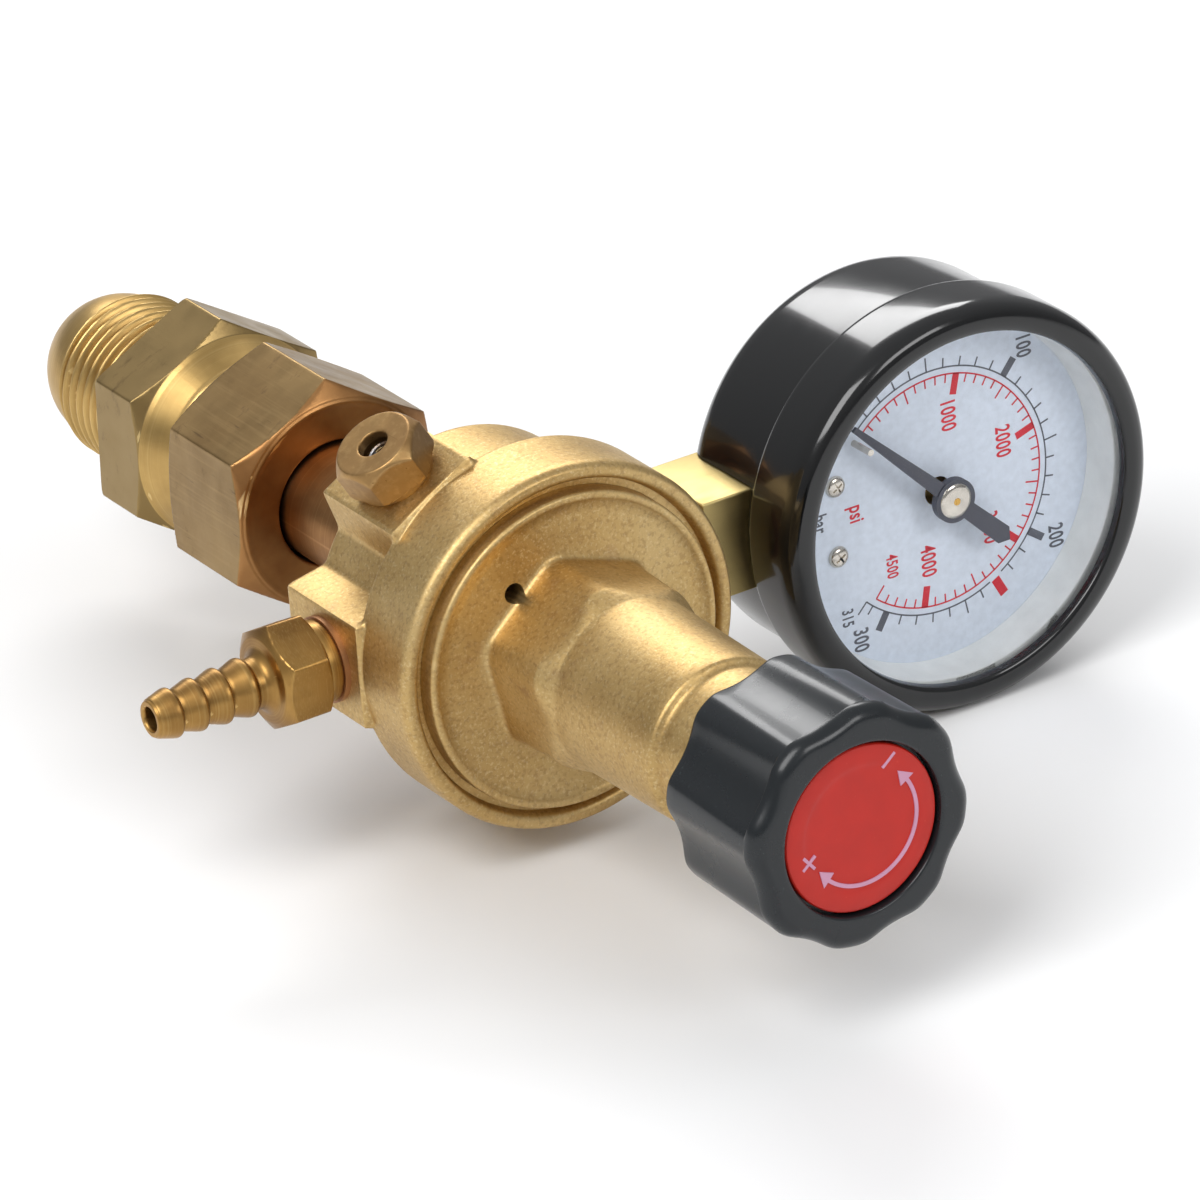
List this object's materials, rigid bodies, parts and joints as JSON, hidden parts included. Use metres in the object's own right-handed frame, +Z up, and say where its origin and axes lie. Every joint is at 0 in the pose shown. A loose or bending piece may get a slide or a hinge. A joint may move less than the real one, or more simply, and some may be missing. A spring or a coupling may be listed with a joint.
{
  "type": "gas pressure regulator",
  "caption": "Single-stage brass gas regulator with inlet gauge, barbed hose outlet, relief valve, bull-nose threaded inlet and fluted adjusting knob.",
  "frame": {"origin": "centre of the shoulder that the inlet thread starts from, on the main axis", "axes": "+Y along the main axis out of the inlet, so the knob faces -Y; +X towards the pressure gauge; +Z up as the object lies, square to both"},
  "size_m": [0.1394, 0.1863, 0.0574],
  "materials": {
    "blasted_brass": "shot-blasted forged brass, satin and grainy",
    "turned_brass": "bright turned brass with fine lathe lines",
    "union_brass": "brushed brass bar, slightly tarnished",
    "stem_brass": "turned brass, browned",
    "barb_brass": "turned brass, browned in the grooves",
    "relief_brass": "brushed brass bar, dull",
    "shank_brass": "drawn square brass bar with stains",
    "movement_brass": "stamped brass",
    "sintered_bronze": "sintered bronze, porous",
    "tube_bronze": "drawn bronze tube",
    "copper": "annealed copper",
    "steel": "zinc-plated steel",
    "spring_steel": "spring wire",
    "nickel": "bright nickel plating",
    "knob_plastic": "moulded charcoal plastic, glossy",
    "red_plastic": "moulded red plastic, glossy",
    "white_nylon": "natural nylon",
    "white_ring": "white plastic",
    "rubber": "moulded rubber",
    "black_enamel": "gloss black enamel on pressed steel",
    "dial_face": "printed aluminium dial, satin",
    "pointer_paint": "dark grey paint",
    "clear_window": "clear polished window"
  },
  "bodies": {
    "regulator": {"body": "blasted_brass", "bonnet": "blasted_brass", "main_spring": "spring_steel", "diaphragm": "rubber", "slip_ring": "white_nylon", "nozzle": "turned_brass", "poppet_spring": "spring_steel", "inlet_stem": "stem_brass", "inlet_filter": "sintered_bronze", "stem_seal": "copper", "seat_washer": "white_nylon", "inlet_adapter": "turned_brass", "relief_cap": "relief_brass", "relief_spring": "spring_steel", "hose_barb": "barb_brass", "barb_seal": "copper", "gauge_shank": "shank_brass", "gauge_seal": "copper", "gauge_case": "black_enamel", "gauge_bezel": "black_enamel", "gauge_window": "clear_window", "gauge_ring": "white_ring", "gauge_dial": "dial_face", "dial_screws": "nickel", "stop_pin": "nickel", "movement_plates": "movement_brass", "movement_pillars": "movement_brass", "bourdon_tube": "tube_bronze", "tube_end": "movement_brass"},
    "screw_carrier": {"spring_button": "steel"},
    "knob_assembly": {"knob": "knob_plastic", "knob_disc": "red_plastic", "adjusting_screw": "steel", "screw_retainer": "steel"},
    "valve": {"diaphragm_plate": "steel", "lower_button": "turned_brass", "poppet": "turned_brass", "poppet_seal": "white_nylon"},
    "relief_valve": {"relief_poppet": "turned_brass", "relief_seal": "rubber"},
    "union": {"union_nut": "union_brass"},
    "sector": {"sector_gear": "movement_brass"},
    "link": {"gauge_link": "steel"},
    "needle": {"pointer": "pointer_paint", "pointer_cap": "nickel", "pointer_arbor": "movement_brass"}
  },
  "joints": [
    {"name": "screw_advance", "type": "slide", "parent": "regulator", "child": "screw_carrier", "axis": [0, 1, 0], "range_m": [-0.0015, 0.006], "deforming": ["main_spring"]},
    {"name": "knob_turn", "type": "hinge", "parent": "screw_carrier", "child": "knob_assembly", "pos_m": [0, -0.15, 0], "axis": [0, 1, 0], "range_deg": [-360.1, 1440.1]},
    {"name": "valve_lift", "type": "slide", "parent": "regulator", "child": "valve", "axis": [0, 1, 0], "range_m": [0, 0.0008], "stiffness_N_per_m": 400, "springref_m": -0.002, "deforming": ["diaphragm", "poppet_spring"]},
    {"name": "relief_lift", "type": "slide", "parent": "regulator", "child": "relief_valve", "axis": [-0.5, 0, 0.866], "range_m": [0, 0.001], "stiffness_N_per_m": 800, "springref_m": -0.004, "deforming": ["relief_spring"]},
    {"name": "nut_spin", "type": "hinge", "parent": "regulator", "child": "union", "pos_m": [0, -0.0285, 0], "axis": [0, 1, 0], "continuous": true},
    {"name": "sector_swing", "type": "hinge", "parent": "regulator", "child": "sector", "pos_m": [0.05677, -0.0815, 0.00974], "axis": [0, 1, 0], "range_deg": [-45, 0]},
    {"name": "pointer_turn", "type": "hinge", "parent": "regulator", "child": "needle", "pos_m": [0.0607, -0.0815, 0], "axis": [0, 1, 0], "range_deg": [0, 270]},
    {"name": "link_swing", "type": "hinge", "parent": "sector", "child": "link", "pos_m": [0.0613, -0.083, 0.01185], "axis": [0, 1, 0], "range_deg": [0, 45]}
  ],
  "couplings": [
    {"joint": "knob_turn", "follows": "screw_advance", "rad_per_m": 4188.8},
    {"joint": "pointer_turn", "follows": "sector_swing", "ratio": -6},
    {"joint": "link_swing", "follows": "sector_swing", "ratio": -1}
  ]
}
